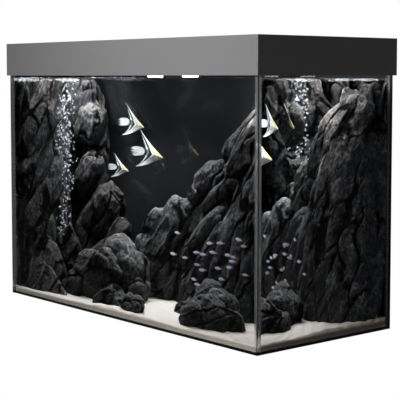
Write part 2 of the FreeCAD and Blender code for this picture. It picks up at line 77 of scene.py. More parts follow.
# %% [markdown]
# The camera stands off the front right corner at the height of the hood's lower edge, with
# a long lens. A long lens keeps the upright edges nearly parallel. The small downward shift
# does what a view camera does: it frames the tank without tipping the camera much.

# %% Camera
def aim_camera(location, heading, tip, lens, shift):
    """Camera at a place, looking along a compass heading (from +X, in degrees), tipped down."""
    data = bpy.data.cameras.new("tank_camera")
    data.lens = lens
    data.sensor_width = 36.0
    data.shift_y = shift
    data.clip_end = 60.0
    camera = bpy.data.objects.new("tank_camera", data)
    camera.location = location
    camera.rotation_euler = (math.radians(90 - tip), 0, math.radians(heading - 90))
    bpy.context.scene.collection.objects.link(camera)
    bpy.context.scene.camera = camera
    return camera


camera = aim_camera((2.8183, -2.3341, 0.721), heading=139.713, tip=4.015, lens=107.1, shift=-0.10)
print("camera", [round(v, 2) for v in camera.location])

# %% [markdown]
# Plain studio: a white surround and floor, bright only where they are looked at directly.
# Seen through the glass or as a light the room is dim. A tank is photographed like this in a
# dark room, because a bright one would be mirrored in the panes and wash out the dark rocks.
# The short node helpers made here serve every finish further down.

# %% Node helpers
def wire(tree, node, values):
    """Fill a node's inputs: a socket is linked, anything else is a plain value."""
    for key, value in values.items():
        if isinstance(value, bpy.types.NodeSocket):
            tree.links.new(value, node.inputs[key])
        else:
            node.inputs[key].default_value = value


def node_maker(tree):
    """Short way to add a node. It gives back the picked output, or with no pick the node."""
    def make(kind, values=None, pick=0, **settings):
        node = tree.nodes.new("ShaderNode" + kind)
        for key, value in settings.items():
            setattr(node, key, value)
        wire(tree, node, values or {})
        return node if pick is None else node.outputs[pick]
    return make


def combine(make, operation, first, second):
    return make("Math", {0: first, 1: second}, operation=operation)


def remap(make, value, low, high, to_low=0.0, to_high=1.0):
    """Stretch the run from low to high onto another run, and hold it at both ends."""
    return make("MapRange", {"Value": value, "From Min": low, "From Max": high,
                             "To Min": to_low, "To Max": to_high})


# %% Surround and floor
def first_look(make):
    """1 for a straight look and 0 once a ray has turned, and how often it was scattered."""
    path = make("LightPath", pick=None).outputs
    turns = combine(make, "ADD", path["Diffuse Depth"], path["Glossy Depth"])
    turns = combine(make, "ADD", turns, path["Transmission Depth"])
    return combine(make, "LESS_THAN", turns, 0.5), path["Diffuse Depth"]


def make_surround(seen, fill, mirrored):
    """World with one strength when seen, one as fill light and one overhead in mirrors."""
    world = bpy.data.worlds.new("studio")
    world.use_nodes = True
    tree = world.node_tree
    tree.nodes.clear()
    make = node_maker(tree)
    direct, scattered = first_look(make)
    upward = make("SeparateXYZ", {0: make("TexCoord", pick="Generated")}, pick="Z")
    overhead = remap(make, upward, 0.15, 0.9, 0.0, mirrored)
    level = remap(make, scattered, 0.0, 1.0, overhead, fill)
    white = (1, 1, 1, 1)
    bright = make("Background", {"Color": white, "Strength": seen})
    dark = make("Background", {"Color": white, "Strength": level})
    mix = make("MixShader", {0: direct, 1: dark, 2: bright})
    make("OutputWorld", {"Surface": mix}, pick=None)
    bpy.context.scene.world = world


def make_floor(half, drop):
    """Floor a hair below the tank, so the two faces never lie in one plane."""
    bpy.ops.mesh.primitive_plane_add(size=2 * half, location=(0, 0, -drop))
    floor = bpy.context.object
    floor.name = "studio_floor"
    material = bpy.data.materials.new("studio_white")
    material.use_nodes = True
    tree = material.node_tree
    tree.nodes.clear()
    make = node_maker(tree)
    glow = make("Emission", {"Strength": first_look(make)[0]})
    make("OutputMaterial", {"Surface": glow}, pick=None)
    floor.data.materials.append(material)
    floor.visible_diffuse = False


make_surround(seen=1.0, fill=0.07, mirrored=0.25)
make_floor(half=20.0, drop=0.0005)
bpy.context.scene.view_settings.view_transform = "Standard"
print("studio ready")

# %% [markdown]
# Inside the hood the lamps do the real work: long light strips under the bars, round spots
# in the middle, and three small accents that pick out the crest of each rock. Each lamp is a
# light just under its lens, because a glowing lens mesh alone would need many more samples
# for the same clean light. Outside stand soft boxes. Each one reaches only its own group of
# pieces: the hood and seams, the pale band at the foot, or the rocks at one end. So the
# hood's two faces read as two tones and the far ends of the rocks aren't lost in the dark.

# %% Lamp helpers
def hang_lamp(kind, name, place, target, power, tint, **settings):
    """Light aimed at a target. No camera, mirror or pane shows the lamp itself."""
    data = bpy.data.lights.new(name, kind)
    data.energy = power
    data.color = tint
    for key, value in settings.items():
        setattr(data, key, value)
    lamp = bpy.data.objects.new(name, data)
    lamp.location = place
    lamp.rotation_euler = (Vector(target) - lamp.location).to_track_quat("-Z", "Y").to_euler()
    lamp.visible_camera = lamp.visible_glossy = lamp.visible_transmission = False
    bpy.context.scene.collection.objects.link(lamp)
    return lamp


def panel_light(name, place, target, size, power, tint=(1, 1, 1)):
    return hang_lamp("AREA", name, place, target, power, tint,
                     shape="RECTANGLE", size=size[0], size_y=size[1])


def spot_light(name, place, target, power, angle, tint):
    return hang_lamp("SPOT", name, place, target, power, tint,
                     spot_size=math.radians(angle), spot_blend=0.6, shadow_soft_size=0.02)


def light_group(name, members=()):
    """Pieces that share a light. Later cells add the soft pieces."""
    group = bpy.data.collections.new(name)
    for member in members:
        group.objects.link(nodes[member])
    return group


# %% Lights
outer_names = ("hood_", "flap_", "feed_", "hinge_", "hatch_", "brace_", "corner_", "base_")
outside = light_group("lit_from_outside", [
    part["node"] for part in parts if part["node"].startswith(outer_names)
])
low_band = light_group("lit_low_band", ("bottom_pane", "base_seams"))
right_group = light_group("rocks_lit_from_the_right")
left_group = light_group("rocks_lit_from_the_left")

plain, cool, sandy = (1, 1, 1), (0.9, 0.95, 1.0), (1.0, 0.95, 0.88)
for *box_light, group in (
    ("front_softbox", (0.30, -1.6, 1.0), (0.30, 0, 0.77), (0.55, 0.55), 33, plain, outside),
    ("top_softbox", (-0.3, -0.3, 3.0), (-0.2, 0, 0.8), (1.6, 1.0), 40, plain, outside),
    ("rear_softbox", (-1.6, 2.6, 1.4), (-0.2, 0, 0.6), (1.4, 1.0), 70, plain, outside),
    ("low_band_light", (0.9, -1.9, 0.35), (0.1, -0.2, 0.02), (0.5, 0.3), 26, sandy, low_band),
    ("end_softbox", (2.4, -1.0, 1.1), (0.5, 0.15, 0.4), (0.8, 0.8), 24, cool, right_group),
    ("left_softbox", (-2.4, 0.9, 1.2), (-0.55, 0.0, 0.4), (0.8, 0.8), 26, cool, left_group),
):
    panel_light(*box_light).light_linking.receiver_collection = group

lamp_white, lamp_warm = (0.88, 0.94, 1.0), (1.0, 0.95, 0.9)
below_strip, below_spot, lens_radius = 0.004, 0.006, 0.024
for bar, power in (("front", 5.0), ("rear", 3.0)):
    low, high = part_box(f"led_lens_{bar}")
    centre = (low + high) / 2
    panel_light(f"led_{bar}_light", (centre.x, centre.y, low.z - below_strip), (centre.x, centre.y, 0),
                (high.x - low.x, high.y - low.y), power, lamp_white)
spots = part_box("spot_lenses")
for x in (spots[0].x + lens_radius, spots[1].x - lens_radius):
    spot_light(f"spot_{x:.2f}", (x, 0, spots[0].z - below_spot), (x - 0.05, 0.05, 0), 9, 120, lamp_white)
for accent in (
    ("stack_spot", (-0.34, -0.03, 0.70), (-0.40, 0.13, 0.58), 9, 110, lamp_white),
    ("column_spot", (-0.48, -0.12, 0.70), (-0.55, 0.06, 0.64), 5, 80, lamp_warm),
    ("peak_spot", (0.44, -0.02, 0.716), (0.50, 0.16, 0.66), 9, 130, lamp_warm),
):
    spot_light(*accent)


# %% [markdown]
# Most finishes start from the same surface shader: a colour that wanders a little, a
# roughness that wanders a little, and a fine relief. One helper builds that, so each
# finish below is only its own numbers. Values that are the same all over go straight on the
# shader, and only what varies is wired through nodes.

# %% Finish helper
def new_finish(name):
    """Blank finish: its material, node tree, node maker and surface shader."""
    material = bpy.data.materials.new(name)
    material.use_nodes = True
    tree = material.node_tree
    return material, tree, node_maker(tree), tree.nodes["Principled BSDF"]


def blend(make, share, first, second):
    """Colour from first to second. Each end is a colour or another node's output."""
    ends = {place: end if isinstance(end, bpy.types.NodeSocket) else (*end, 1)
            for place, end in ((6, first), (7, second))}
    return make("Mix", {"Factor": share, **ends}, pick=2, data_type="RGBA")


def finish(name, colour, roughness, second=None, patch=30.0, grain=400.0, relief=0.0, depth=0.001,
           metallic=0.0):
    """Surface with patchy colour and roughness, and a fine grain relief."""
    material, tree, make, surface = new_finish(name)
    where = make("TexCoord", pick="Object")
    patches = make("TexNoise", {"Vector": where, "Scale": patch, "Detail": 4.0})
    second = second or tuple(0.8 * c for c in colour)
    low, high = max(0.02, roughness - 0.06), min(1.0, roughness + 0.06)
    wire(tree, surface, {
        "Base Color": (*colour, 1) if second == colour else blend(make, patches, colour, second),
        "Roughness": remap(make, patches, 0, 1, low, high),
        "Metallic": metallic,
    })
    if relief:
        grains = make("TexNoise", {"Vector": where, "Scale": grain, "Detail": 3.0})
        bump = make("Bump", {"Strength": relief, "Distance": depth, "Height": grains})
        wire(tree, surface, {"Normal": bump})
    return material


def paint(slot_name, material):
    """Give a finish to every model node of one material slot."""
    count = 0
    for part in parts:
        if part["material_slot"] == slot_name:
            nodes[part["node"]].material_slots[0].material = material
            count += 1
    print(f"{slot_name}: {count} nodes")


def coat(slot_name, colour, roughness, **details):
    paint(slot_name, finish(slot_name, colour, roughness, **details))


# %% [markdown]
# Float glass is a clear refracting body with real thickness, and its faint green gathers by
# itself where light runs along a pane. The panes, seams and bottom cast no shadow, so the
# lamps light the inside as if they were not there. The bottom pane lies under the sand and
# shows only its edge, which is painted in the sand's colour: a painted reflection of the sand
# seen in the glass edge. A thin clear seam is all but invisible in the corner of a tank, so
# silicone is mostly see-through.

# %% Glass
def clear_body(name, tint, index):
    material, tree, _, surface = new_finish(name)
    wire(tree, surface, {"Base Color": (*tint, 1), "Roughness": 0.0, "IOR": index,
                         "Transmission Weight": 1.0})
    return material


paint("pane_glass", clear_body("pane_glass", (0.975, 0.99, 0.985), 1.5))
# Painted reflection: the bottom pane's edge is painted sand colour, standing in for the sand seen through the
# glass.
coat("bottom_glass", (0.50, 0.46, 0.41), 0.35, second=(0.36, 0.33, 0.29), patch=30)
clear_silicone = finish("silicone", (0.30, 0.31, 0.31), 0.3, second=(0.20, 0.21, 0.21), patch=60,
                        relief=0.2, grain=250)
clear_silicone.node_tree.nodes["Principled BSDF"].inputs["Alpha"].default_value = 0.12
paint("silicone", clear_silicone)
paint("heater_glass", clear_body("heater_glass", (0.75, 0.78, 0.76), 1.47))
for part in parts:
    if part["material_slot"] in ("pane_glass", "bottom_glass", "silicone"):
        nodes[part["node"]].visible_shadow = False

# %% [markdown]
# Rubber, foam, film and moulded plastic are all near black here. What tells them apart is
# the sheen: foam is dull and pitted, the back film is glossy and even, and moulded plastic
# has a fine spark-eroded grain. The air stone is pressed from coarse pale grit.

# %% Dark finishes
coat("foam_mat", (0.004, 0.004, 0.004), 0.85, patch=120, relief=0.6, grain=900)
coat("black_film", (0.011, 0.011, 0.012), 0.3, patch=4)
coat("equipment_plastic", (0.012, 0.012, 0.013), 0.45, relief=0.2, grain=900)
coat("soft_rubber", (0.02, 0.02, 0.02), 0.6, relief=0.2, grain=500)
coat("hood_inner_plastic", (0.02, 0.02, 0.021), 0.5, relief=0.2, grain=900)
coat("lamp_black", (0.012, 0.012, 0.012), 0.4, relief=0.2, grain=900)
coat("air_stone_grit", (0.16, 0.18, 0.22), 0.9, relief=1.0, grain=700, depth=0.002)

# %% [markdown]
# The hood panels are powder coated in dark grey. Powder coat flows into a faint orange-peel
# surface, so it takes a soft, wide highlight. The lids are the same colour in moulded
# plastic with a coarser texture. The lenses glow evenly, as a frosted cover does.

# %% Hood finishes
coat("hood_panel", (0.15, 0.15, 0.153), 0.42, second=(0.135, 0.135, 0.138), patch=3,
     relief=0.18, grain=700, depth=0.0006)
coat("lid_panel", (0.11, 0.11, 0.112), 0.55, second=(0.095, 0.095, 0.097), patch=6,
     relief=0.4, grain=900, depth=0.0006)
coat("lamp_aluminium", (0.72, 0.73, 0.75), 0.32, metallic=1.0, patch=8)
coat("steel_pin", (0.6, 0.6, 0.62), 0.25, metallic=1.0, patch=40)


def lit_lens(name, power, colour=(0.95, 0.98, 1.0)):
    material = finish(name, colour, 0.3, second=colour)
    wire(material.node_tree, material.node_tree.nodes["Principled BSDF"],
         {"Emission Color": (*colour, 1), "Emission Strength": power})
    return material


paint("lamp_lens", lit_lens("lamp_lens", 5.0))
strip_lens = lit_lens("strip_lens", 0.5)
for bar in ("front", "rear"):
    nodes[f"led_lens_{bar}"].material_slots[0].material = strip_lens


# %% [markdown]
# Natural relief needs a noise that can be sampled at any point of a mesh. Blender has
# texture modifiers for that, but a small lattice noise in numpy can be bent, stretched and
# turned into creases at will, and gives the same rock on every run.

# %% Lattice noise
def lattice_value(ix, iy, iz, seed):
    """Repeatable value from -1 to 1 at each lattice point."""
    mixed = (ix * 374761393 + iy * 668265263 + iz * 1440662683 + seed * 974634777) & 0xFFFFFFFF
    mixed = ((mixed ^ (mixed >> 13)) * 1274126177) & 0xFFFFFFFF
    mixed = mixed ^ (mixed >> 16)
    return (mixed & 0xFFFFFF) / 8388607.5 - 1.0


def smooth_noise(points, seed):
    """Lattice values blended smoothly over each cell."""
    cell = np.floor(points).astype(np.int64)
    part = points - cell
    part = part * part * (3 - 2 * part)
    total = np.zeros(len(points))
    for corner in itertools.product((0, 1), repeat=3):
        weight = np.prod(np.where(corner, part, 1 - part), axis=1)
        total += weight * lattice_value(*(cell + corner).T, seed)
    return total


def layered_noise(points, seed, layers=4, gain=0.5):
    """Noise on noise, each layer about twice as fine and weaker than the last."""
    total = np.zeros(len(points))
    weight = 1.0
    for k in range(layers):
        total += weight * smooth_noise(points * 2.03 ** k, seed + 31 * k)
        weight *= gain
    return total


def hump(values, centre, width):
    """1 at the centre, close to 0 from twice the width away."""
    return np.exp(-((values - centre) / width) ** 2)


def unit(values):
    """Values held between 0 and 1."""
    return np.clip(values, 0, 1)


def cell_noise(points, seed):
    """Distances to the nearest and second nearest of scattered points, one in each cell."""
    cell = np.floor(points).astype(np.int64)
    scatter, far_off = 0.42, 9.0
    nearest = np.full(len(points), far_off)
    second = np.full(len(points), far_off)
    for neighbour in itertools.product((-1, 0, 1), repeat=3):
        c = cell + neighbour
        spot = np.stack([lattice_value(*c.T, seed + k) for k in (0, 7, 13)], axis=1)
        reach = np.linalg.norm(c + 0.5 + scatter * spot - points, axis=1)
        second = np.minimum(second, np.maximum(nearest, reach))
        nearest = np.minimum(nearest, reach)
    return nearest, second


print("noise check", np.round(layered_noise(np.array([[0.3, 0.6, 0.9]]), 3), 3))


# %% [markdown]
# The soft pieces are all made the same way: points and faces are worked out as arrays, turned
# into a mesh, given a finish and fixed to the tank. The steps they share are kept here.

# %% Mesh helpers
def new_mesh(name, blocks, faces):
    mesh = bpy.data.meshes.new(name)
    mesh.from_pydata(np.concatenate(blocks).tolist(), [], faces)
    return mesh


def new_object(name, mesh, material, body, smooth=True):
    obj = bpy.data.objects.new(name, mesh)
    bpy.context.scene.collection.objects.link(obj)
    mesh.materials.clear()
    mesh.materials.append(material)
    if smooth:
        mesh.polygons.foreach_set("use_smooth", [True] * len(mesh.polygons))
    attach(obj, body)
    return obj


def read_vectors(mesh, field):
    """The points ("co") or normals ("normal") of a mesh as an array."""
    values = np.zeros(len(mesh.vertices) * 3, np.float32)
    mesh.vertices.foreach_get(field, values)
    return values.reshape(-1, 3).astype(float)


def write_points(mesh, points):
    mesh.vertices.foreach_set("co", points.astype(np.float32).ravel())
    mesh.update()


def write_values(mesh, label, values):
    """Store one number per point, for a finish to read."""
    layer = mesh.attributes.new(label, "FLOAT", "POINT")
    layer.data.foreach_set("value", values.astype(np.float32))


def with_modifiers(mesh, steps):
    """Mesh after a list of (modifier kind, settings)."""
    carrier = bpy.data.objects.new("carrier", mesh)
    bpy.context.scene.collection.objects.link(carrier)
    for kind, settings in steps:
        modifier = carrier.modifiers.new(kind.lower(), kind)
        for key, value in settings.items():
            setattr(modifier, key, value)
    graph = bpy.context.evaluated_depsgraph_get()
    result = bpy.data.meshes.new_from_object(carrier.evaluated_get(graph))
    bpy.data.objects.remove(carrier)
    return result


def unit_ball(subdivisions):
    """Points and faces of a ball of radius 1."""
    shape = bmesh.new()
    bmesh.ops.create_icosphere(shape, subdivisions=subdivisions, radius=1.0)
    points = np.array([v.co for v in shape.verts])
    shape.verts.index_update()
    faces = np.array([[v.index for v in f.verts] for f in shape.faces])
    shape.free()
    return points, faces


def quads(index):
    """Four-cornered faces of a grid, from the numbers of its points in rows."""
    corners = [index[:-1, :-1], index[:-1, 1:], index[1:, 1:], index[1:, :-1]]
    return np.stack(corners, axis=-1).reshape(-1, 4)


def grid_inside(gap, step):
    """Even grid over the floor of the tank, a gap away from the glass."""
    half_x, half_y = inner_x - gap, inner_y - gap
    columns, rows = int(2 * half_x / step), int(2 * half_y / step)
    xs, ys = np.meshgrid(np.linspace(-half_x, half_x, columns), np.linspace(-half_y, half_y, rows))
    return xs.ravel(), ys.ravel(), np.arange(columns * rows).reshape(rows, columns), half_x, half_y


def turn(degrees):
    """Turn about the upright axis."""
    cosine, sine = math.cos(math.radians(degrees)), math.sin(math.radians(degrees))
    return np.array([[cosine, -sine, 0], [sine, cosine, 0], [0, 0, 1]])


# %% [markdown]
# Weathered dark rock. Seen close it is nearly black, with a paler, slightly brown painted highlight on the
# faces that look up towards the lamps, and painted shade that keeps it dark in the creases. The
# finish reads the surface direction, the crease depth and the painted crest light and crack shade
# stored by the carving to place those shades, then draws a few pale veins. On the stack, painted
# shade darkens the lower half.

# %% Rock finish
def make_rock_finish(name, grain, brown=1.0, foot_shade=None):
    """Dark rock with streaks along the grain, a painted highlight on faces that look up and painted shade in
    the hollows and creases. Given a value, painted shade darkens it towards the foot to that share.
    """
    material, tree, make, surface = new_finish(name)
    geometry = make("NewGeometry", pick=None).outputs
    where = make("TexCoord", pick="Object")

    def noise(vector, scale, detail, roughness, distortion=0.0):
        return make("TexNoise", {"Vector": vector, "Scale": scale, "Detail": detail,
                                 "Roughness": roughness, "Distortion": distortion})

    blotch = noise(where, 22.0, 10.0, 0.72)
    turned = make("Mapping", {"Vector": where, "Scale": (1.0, 1.0, 7.0),
                              "Rotation": Vector(grain).to_track_quat("Z", "Y").to_euler()},
                  vector_type="TEXTURE")
    streak = noise(turned, 150.0, 4.0, 0.6, 0.4)
    mixed = combine(make, "ADD", blotch, streak)
    tones = make("ValToRGB", {"Fac": combine(make, "MULTIPLY", mixed, 0.5)})
    ramp = tones.node.color_ramp
    ramp.elements.new(0.50)
    for stop, place, shade in zip(ramp.elements, (0.36, 0.50, 0.66), (
            (0.008, 0.008, 0.009), (0.026, 0.026, 0.028), (0.075, 0.073, 0.073))):
        stop.position = place
        stop.color = (*shade, 1)

    # Painted highlight: faces that look up are blended towards a paler, slightly brown colour, as if lit from
    # above.
    up = make("SeparateXYZ", {0: geometry["Normal"]}, pick="Z")
    top_highlight_share = remap(make, combine(make, "ADD", up, mixed), 0.95, 2.3)
    top_highlighted = blend(make, top_highlight_share, tones, (0.19, 0.19 - 0.022 * brown, 0.19 - 0.042 * brown))
    # Painted shade: hollows, where the surface folds inwards, are blended to near black.
    edge = remap(make, geometry["Pointiness"], 0.455, 0.53)
    hollow_shaded = blend(make, edge, (0.003, 0.003, 0.0035), top_highlighted)

    # Painted highlight and shade stored by the carving: lighter on ridge crests, darker in the cracks.
    painted_ridge_and_crack_light = make("Attribute", pick="Fac", attribute_name="painted_ridge_and_crack_light")
    gain = remap(make, painted_ridge_and_crack_light, -0.8, 0.8, -0.25, 2.2)
    warped = make("TexNoise", {"Vector": where, "Scale": 9.0, "Detail": 3.0}, pick="Color")
    shifted = make("VectorMath", {0: warped, 1: where, 2: where}, operation="MULTIPLY_ADD")
    web = make("TexVoronoi", {"Vector": shifted, "Scale": 13.0}, feature="DISTANCE_TO_EDGE")
    vein = remap(make, web, 0.0, 0.018, 0.9, 0.0)
    level = combine(make, "MAXIMUM", combine(make, "ADD", gain, vein), 0.05)
    # Painted shade: darker towards the foot, below a height of 0.50.
    if foot_shade is not None:
        height = make("SeparateXYZ", {0: where}, pick="Z")
        level = combine(make, "MULTIPLY", level, remap(make, height, 0.36, 0.50, foot_shade, 1.0))
    toned = make("VectorMath", {0: hollow_shaded, "Scale": level}, operation="SCALE")

    normal = None
    for strength, distance, relief in (
        (0.7, 0.005, noise(where, 55.0, 6.0, 0.65, 1.2)),
        (0.6, 0.002, noise(where, 170.0, 5.0, 0.75)),
        (0.7, 0.003, streak),
    ):
        below = {"Normal": normal} if normal else {}
        normal = make("Bump", {"Strength": strength, "Distance": distance, "Height": relief, **below})
    wire(tree, surface, {"Base Color": toned, "Roughness": remap(make, blotch, 0, 1, 0.5, 0.85),
                         "Specular IOR Level": 0.3, "Normal": normal})
    return material


wall_rock = make_rock_finish("wall_rock", (0.60, 0.0, 0.80), brown=0.25)
left_rock = make_rock_finish("left_rock", (0.45, 0.45, 0.75), brown=0.7)
# The stack also takes painted shade towards its foot.
stack_rock = make_rock_finish("stack_rock", (0.45, 0.45, 0.75), brown=0.8, foot_shade=0.5)
loose_rock = make_rock_finish("loose_rock", (0.80, 0.2, 0.55), brown=0.3)
print("rock finishes ready")


# %% [markdown]
# Weathered rock splits into slabs and swells into lobes that lean on each other, with deep
# shadow where two of them meet. One displaced block never shows that. So each rock is built
# the way it grew: many leaning lobes, pushed into each other, fused into a single skin by a
# voxel remesh, then given cracks and grit. The seams between lobes stay as real creases.


# %% One lobe of rock
def lobe(foot, head, width, thick, facing, seed, square=0.8, ends=0.6, taper=0.0):
    """Rounded slab from foot to head, in millimetres. Its flat face looks along a heading."""
    foot, head = np.array(foot) / 1000, np.array(head) / 1000
    width, thick = width / 1000, thick / 1000
    axis = head - foot
    length = np.linalg.norm(axis)
    axis = axis / length
    outward = np.array([math.cos(math.radians(facing)), math.sin(math.radians(facing)), 0.0])
    across = np.cross(outward, axis)
    across = across / np.linalg.norm(across)
    through = np.cross(axis, across)
    ball, faces = unit_ball(5)
    blunt = np.sign(ball) * np.abs(ball) ** square
    blunt = blunt / np.maximum(1.0, np.linalg.norm(blunt, axis=1) / 1.16)[:, None]
    narrow = 1.0 - taper * ball[:, 2]
    lumps = 1.0 + 0.13 * layered_noise(ball * 1.3 + seed * 3.7, seed, 3)
    size = np.stack([width * narrow, thick * narrow, np.full(len(ball), length / 2 + ends * width)], axis=1)
    local = blunt * size * lumps[:, None]
    points = (foot + head) / 2 + np.outer(local[:, 0], across) + np.outer(local[:, 1], through)
    points = points + np.outer(local[:, 2], axis)
    return points, faces


def gather(lobes, core=None, core_scale=(1, 1, 0.92)):
    """One loose mesh of all lobes, with the model's own solid inside as a core."""
    blocks, faces, start = [], [], 0
    if core:
        solid = nodes[core].data
        solid_points = read_vectors(solid, "co")
        middle = (solid_points.min(axis=0) + solid_points.max(axis=0)) / 2
        middle[2] = floor_top
        blocks.append(middle + (solid_points - middle) * np.array(core_scale))
        faces += [list(p.vertices) for p in solid.polygons]
        start = len(solid_points)
    for row in lobes:
        lobe_points, lobe_faces = lobe(*row)
        blocks.append(lobe_points)
        faces += (lobe_faces + start).tolist()
        start += len(lobe_points)
    return new_mesh("lobes", blocks, faces)


def carve(points, normals, lean, seed, swell=0.006, crack=0.0055, grit=0.0010, size=1.0, draw=4.5):
    """Swells, then blocks with cracks between them that run along the lean, then grit. Also gives a value per
    point for painted highlight on ridge crests and painted shade in the cracks.
    """
    lean = np.array(lean) / np.linalg.norm(lean)
    warp = np.stack([layered_noise(points * 11, seed + k, 3) for k in (1, 2, 3)], axis=1)
    bent = points + 0.016 * warp
    drawn = bent - (1 - 1 / draw) * np.outer(bent @ lean, lean)
    broad = layered_noise(points * 8 / size, seed + 11, 3)
    ridge = 1 - np.abs(layered_noise(drawn * 17 / size, seed + 17, 2))
    near, far = cell_noise(drawn * 14 / size, seed + 23)
    block = np.clip(far - near, 0, 0.6)
    few = unit(0.6 + 1.4 * smooth_noise(points * 10 / size, seed + 29))
    near, far = cell_noise(bent * 52 / size, seed + 31)
    chips = np.clip(far - near, 0, 0.4)
    fine = layered_noise(points * 90 / size, seed + 41, 3, 0.75)
    shift = swell * (broad + 1.1 * ridge ** 2 + 0.4 * block - 0.5) + 0.001 * chips + grit * fine
    shift = shift - crack * few * (hump(block, 0, 0.07) + 0.22 * hump(chips, 0, 0.06))
    # Painted shade in the cracks between blocks and chips, and painted highlight on patchy ridge crests.
    crease = few * hump(block, 0, 0.09) + 0.3 * hump(chips, 0, 0.07)
    patchy = unit(0.5 + layered_noise(points * 25, seed + 5, 2))
    crest = patchy * unit((ridge - 0.86) / 0.14) ** 2
    return points + normals * shift[:, None], np.clip(crest - 1.4 * crease, -1, 1)


def rock_piece(node, name, lobes, lean, seed, material, voxel=0.004, core=False,
               core_scale=(0.97, 0.97, 0.92), **relief):
    """Fuse the lobes into one skin, carve it, keep it inside the glass and stand it in for a node."""
    mesh = gather(lobes, node if core else None, core_scale)
    mesh = with_modifiers(mesh, [
        ("REMESH", {"mode": "VOXEL", "voxel_size": voxel}),
        ("SMOOTH", {"factor": 0.5, "iterations": 2}),
    ])
    points, painted_ridge_and_crack_light = carve(read_vectors(mesh, "co"), read_vectors(mesh, "normal"), lean, seed, **relief)
    margin, below_surface = 0.002, 0.006
    low = (margin - inner_x, margin - inner_y, floor_top + 0.001)
    high = (inner_x - margin, inner_y - margin, water_level - below_surface)
    write_points(mesh, np.clip(points, low, high))
    # Store the painted crest highlight and crack shade for the finish to read.
    write_values(mesh, "painted_ridge_and_crack_light", painted_ridge_and_crack_light)
    obj = new_object(name, mesh, material, "tank")
    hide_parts(node)
    print(f"{name}: {len(mesh.polygons)} faces")
    return obj


# %% [markdown]
# The tall rock climbs from the middle of the tank to the right rear corner. Its blocks step
# up like shingles, and its corner block is one big slab that faces the right pane. Each row
# below is one lobe: foot, head, width, thickness, heading, seed, and where they differ from
# the usual, how round the section is, how long the ends are and how much it tapers.

# %% Right rock wall
wall_lobes = [
    # corner slab and its folds, facing the right pane
    ((545, 185, 0), (542, 200, 628), 66, 52, -52, 1, 0.65, 0.8),
    ((480, 130, 0), (498, 150, 618), 70, 60, -54, 2, 0.65, 0.8),
    ((415, 110, 0), (430, 140, 590), 58, 60, -58, 3, 0.65, 0.8),
    ((505, 165, 440), (516, 172, 612), 100, 62, -52, 27, 0.7),
    ((345, 150, 500), (480, 150, 610), 64, 56, -66, 25, 0.65),
    ((300, 145, 420), (380, 150, 570), 56, 50, -70, 26, 0.65),
    ((520, 140, 0), (528, 150, 100), 80, 40, -52, 4, 0.65),
    # upper blocks of the crest
    ((255, 170, 490), (420, 185, 620), 48, 55, -80, 5, 0.7),
    ((262, 135, 440), (400, 150, 555), 22, 45, -80, 6),
    ((140, 160, 390), (205, 160, 440), 46, 55, -85, 7),
    ((105, 155, 360), (125, 155, 385), 30, 45, -85, 8),
    ((165, 130, 330), (275, 135, 430), 20, 45, -85, 9),
    ((40, 155, 290), (88, 155, 335), 36, 50, -88, 10),
    ((-56, 130, 120), (-18, 135, 266), 84, 60, -88, 11, 0.7),
    ((-20, 135, 170), (48, 140, 316), 60, 58, -88, 28, 0.7),
    ((-150, 165, 130), (-140, 165, 205), 30, 45, -90, 12),
    # leaning slabs of the face
    ((70, 125, 160), (235, 125, 330), 30, 55, -85, 13),
    ((110, 110, 80), (285, 115, 300), 36, 50, -85, 14),
    ((200, 110, 50), (335, 120, 400), 36, 50, -80, 15),
    ((290, 100, 50), (375, 125, 490), 32, 55, -75, 16),
    ((355, 90, 0), (405, 135, 540), 34, 55, -70, 17),
    # foot
    ((-125, 180, 0), (-85, 165, 120), 52, 45, -90, 18),
    ((-40, 160, 0), (35, 145, 190), 48, 50, -90, 19),
    ((70, 150, 0), (110, 130, 130), 46, 50, -85, 20),
    ((175, 125, 0), (205, 115, 130), 50, 45, -80, 21),
    ((270, 100, 0), (300, 105, 170), 48, 45, -75, 22),
    ((350, 85, 0), (365, 95, 130), 44, 40, -70, 23),
    ((430, 105, 0), (440, 115, 200), 44, 40, -60, 24),
]
right_group.objects.link(rock_piece(
    "rock_wall_right", "rock_wall", wall_lobes, (0.62, 0.1, 0.78), 5, wall_rock,
    core=True, core_scale=(0.98, 0.8, 0.9)))

# %% [markdown]
# On the left, slabs are stacked against the end pane, and a second stack stands beside them
# with a cleft between, where the air rises.

# %% Left rock stacks
column_lobes = [
    ((-575, -215, 520), (-572, -200, 680), 45, 30, -15, 29),
    ((-562, -135, 520), (-548, 0, 640), 85, 46, -15, 31, 0.65, 0.9),
    ((-556, -30, 600), (-546, 10, 690), 95, 50, -15, 30, 0.65),
    ((-566, -170, 390), (-550, -50, 480), 62, 46, -15, 32, 0.65, 0.8),
    ((-545, 20, 250), (-528, 15, 440), 52, 45, -25, 33),
    ((-564, -150, 235), (-552, -60, 345), 60, 46, -15, 34, 0.65, 0.8),
    ((-556, -80, 90), (-548, -50, 240), 70, 50, -20, 35),
    ((-512, -100, -30), (-534, -92, 150), 112, 58, -60, 36, 0.8, 0.6, 0.6),
    ((-462, -160, -30), (-486, -152, 36), 122, 36, -80, 37, 0.8, 0.6, 0.6),
    ((-560, -100, 50), (-556, -50, 660), 80, 34, -10, 38),
]
left_group.objects.link(rock_piece(
    "rock_column_left", "rock_column", column_lobes, (0.35, 0.55, 0.7), 6, left_rock))

